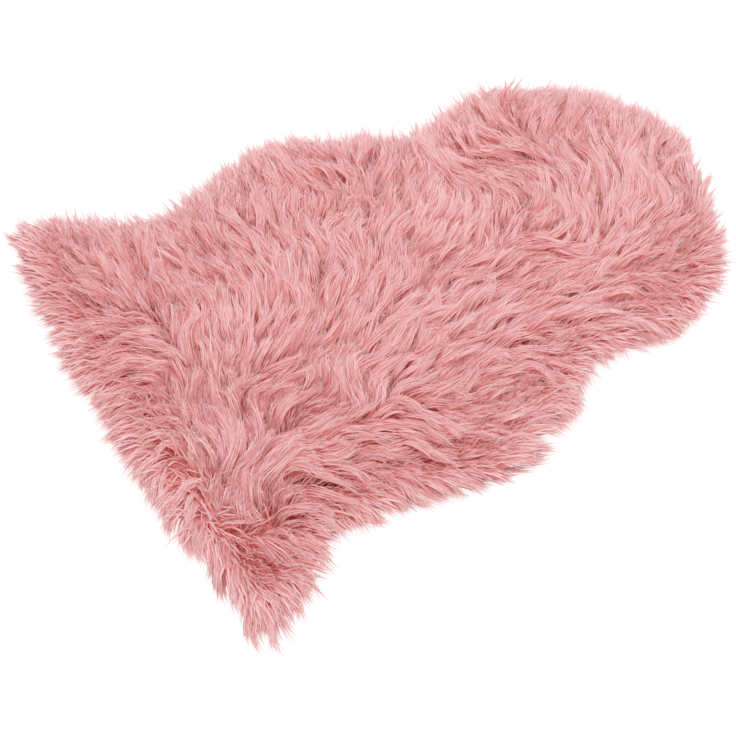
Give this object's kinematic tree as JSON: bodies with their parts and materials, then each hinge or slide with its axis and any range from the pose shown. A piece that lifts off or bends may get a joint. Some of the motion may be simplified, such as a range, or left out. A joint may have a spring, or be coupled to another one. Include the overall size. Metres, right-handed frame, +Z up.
{
  "type": "faux fur rug",
  "caption": "Pink long-pile faux fur rug cut to a sheepskin outline, lying flat, with a straight rump edge, pointed leg corners and a round neck lobe.",
  "frame": {"origin": "middle of the outline's box, on the flat underside that lies on the floor", "axes": "+X from the rump edge to the neck lobe, +Y to the pelt's left side, +Z up out of the pile"},
  "size_m": [0.905, 0.718, 0.0485],
  "materials": {
    "pile": "matte",
    "backing": "matte"
  },
  "bodies": {
    "root": {"fur_rug": "pile"}
  },
  "joints": []
}
